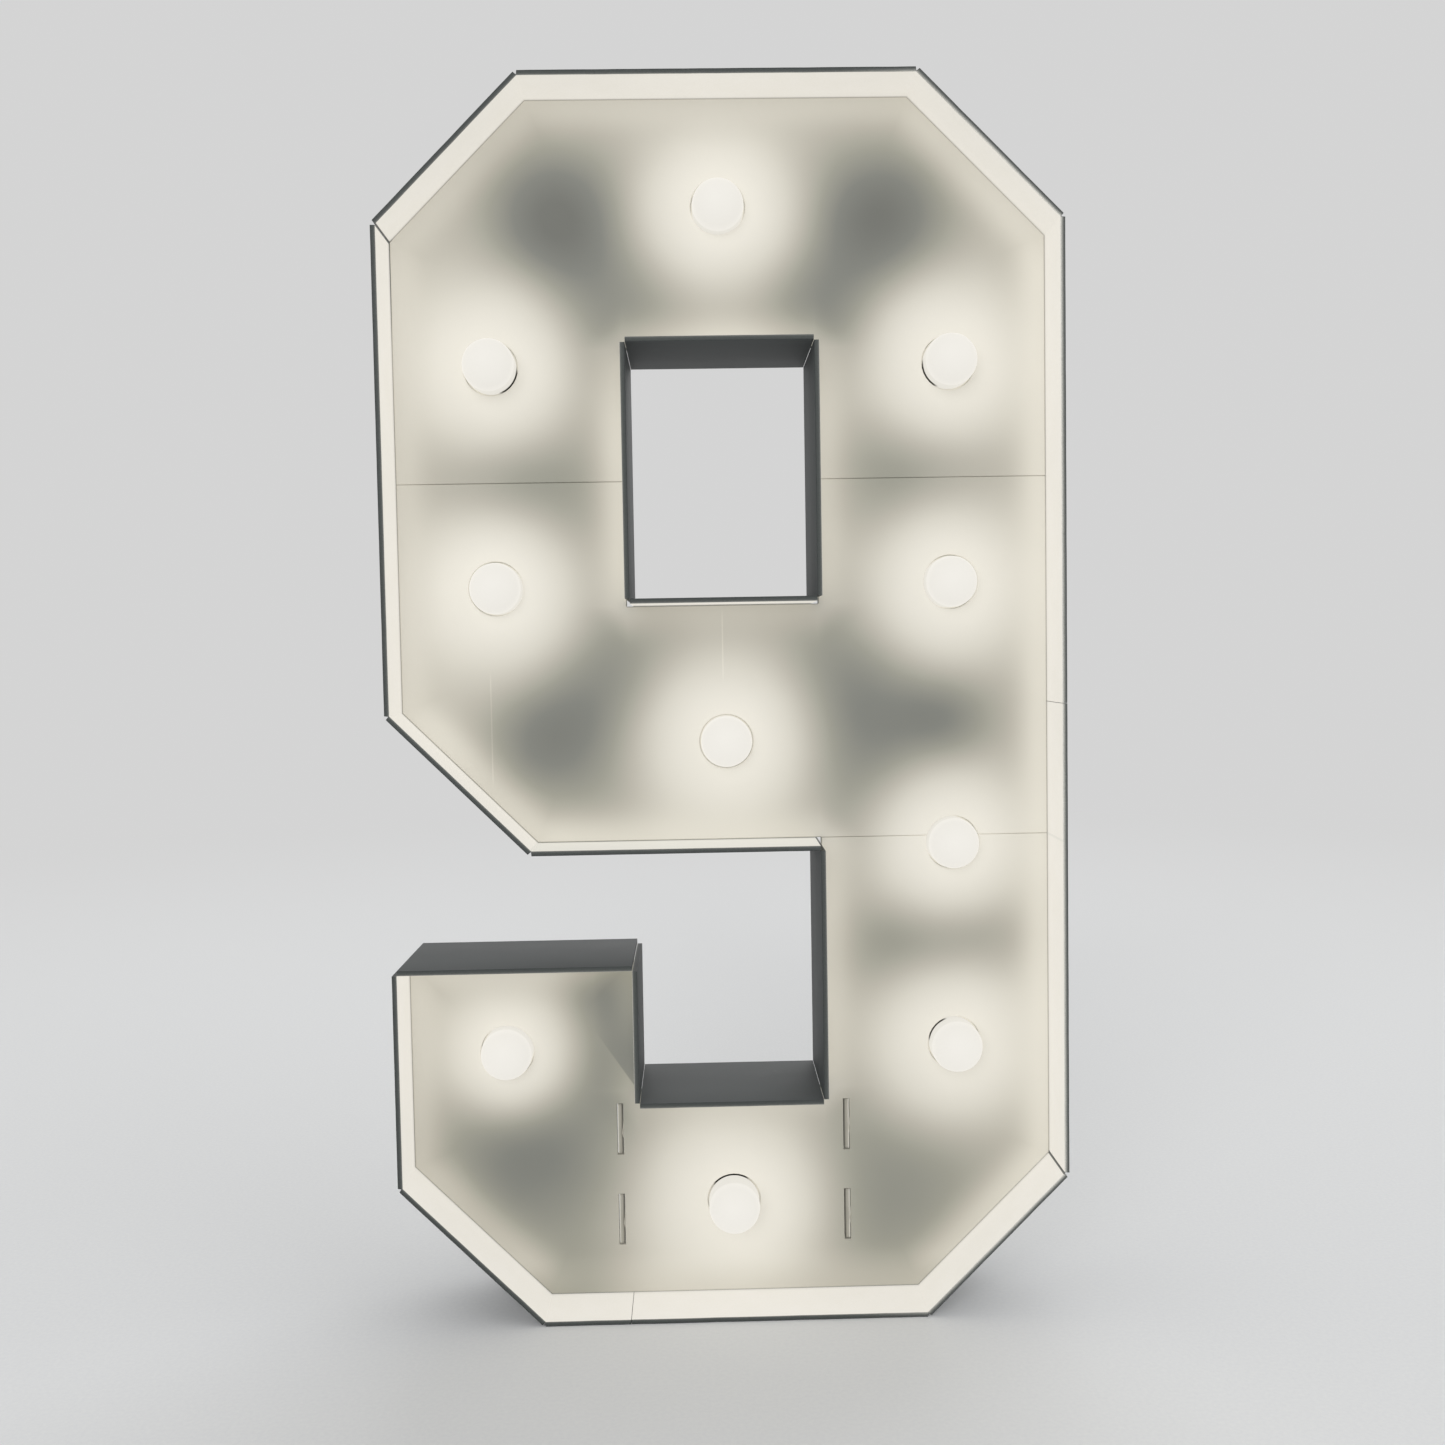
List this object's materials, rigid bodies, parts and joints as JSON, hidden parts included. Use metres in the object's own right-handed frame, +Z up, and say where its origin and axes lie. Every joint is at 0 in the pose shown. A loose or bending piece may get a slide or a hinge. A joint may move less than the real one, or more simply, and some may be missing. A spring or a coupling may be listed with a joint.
{
  "type": "light-up marquee number",
  "caption": "Tall block-style light-up marquee numeral in white foam board: frosted globe lamps in a recessed panel, a battery box behind it and plug-in legs.",
  "frame": {"origin": "on the floor, at the middle of the bounding box in plan", "axes": "+Z up along the numeral's height, -Y out of its lit front, +X to the right seen from the front"},
  "size_m": [0.398, 0.19, 0.73],
  "materials": {
    "foam_board": "matte",
    "frosted_globe": "frosted",
    "white_plastic": "satin",
    "black_plastic": "matte",
    "clear_lead": "clear",
    "foam_pad": "matte",
    "plated_steel": "plated",
    "cell_sleeve": "satin"
  },
  "bodies": {
    "numeral": {"battery_box": "black_plastic", "box_pad": "foam_pad", "cell_1": "cell_sleeve", "cell_2": "cell_sleeve", "cell_3": "cell_sleeve", "contact_bottom_link": "plated_steel", "contact_bottom_single": "plated_steel", "contact_top_link": "plated_steel", "contact_top_single": "plated_steel", "counter_wall_bottom": "foam_board", "counter_wall_left": "foam_board", "counter_wall_right": "foam_board", "counter_wall_top": "foam_board", "globe_1": "frosted_globe", "globe_10": "frosted_globe", "globe_2": "frosted_globe", "globe_3": "frosted_globe", "globe_4": "frosted_globe", "globe_5": "frosted_globe", "globe_6": "frosted_globe", "globe_7": "frosted_globe", "globe_8": "frosted_globe", "globe_9": "frosted_globe", "holder_1": "white_plastic", "holder_10": "white_plastic", "holder_2": "white_plastic", "holder_3": "white_plastic", "holder_4": "white_plastic", "holder_5": "white_plastic", "holder_6": "white_plastic", "holder_7": "white_plastic", "holder_8": "white_plastic", "holder_9": "white_plastic", "lead": "clear_lead", "panel_lower": "foam_board", "panel_middle": "foam_board", "panel_upper": "foam_board", "seam_plate_lower_left": "foam_board", "seam_plate_lower_right": "foam_board", "seam_plate_upper_left": "foam_board", "seam_plate_upper_right": "foam_board", "switch_body": "plated_steel", "wall_arm_end": "foam_board", "wall_arm_top": "foam_board", "wall_bay_floor": "foam_board", "wall_bay_side": "foam_board", "wall_bowl": "foam_board", "wall_crown": "foam_board", "wall_foot_left": "foam_board", "wall_foot_right": "foam_board", "wall_right": "foam_board"},
    "battery_lid": {"battery_lid": "black_plastic"},
    "switch_knob": {"switch_knob": "black_plastic"},
    "leg_left": {"leg_left": "foam_board"},
    "leg_right": {"leg_right": "foam_board"}
  },
  "joints": [
    {"name": "lid_slide", "type": "slide", "parent": "numeral", "child": "battery_lid", "axis": [0, 0, 1], "range_m": [0, 0.06]},
    {"name": "switch_slide", "type": "slide", "parent": "numeral", "child": "switch_knob", "axis": [1, 0, 0], "range_m": [0, 0.004]},
    {"name": "leg_left_pull", "type": "slide", "parent": "numeral", "child": "leg_left", "axis": [0, 1, 0], "range_m": [0, 0.05]},
    {"name": "leg_right_pull", "type": "slide", "parent": "numeral", "child": "leg_right", "axis": [0, 1, 0], "range_m": [0, 0.05]}
  ]
}
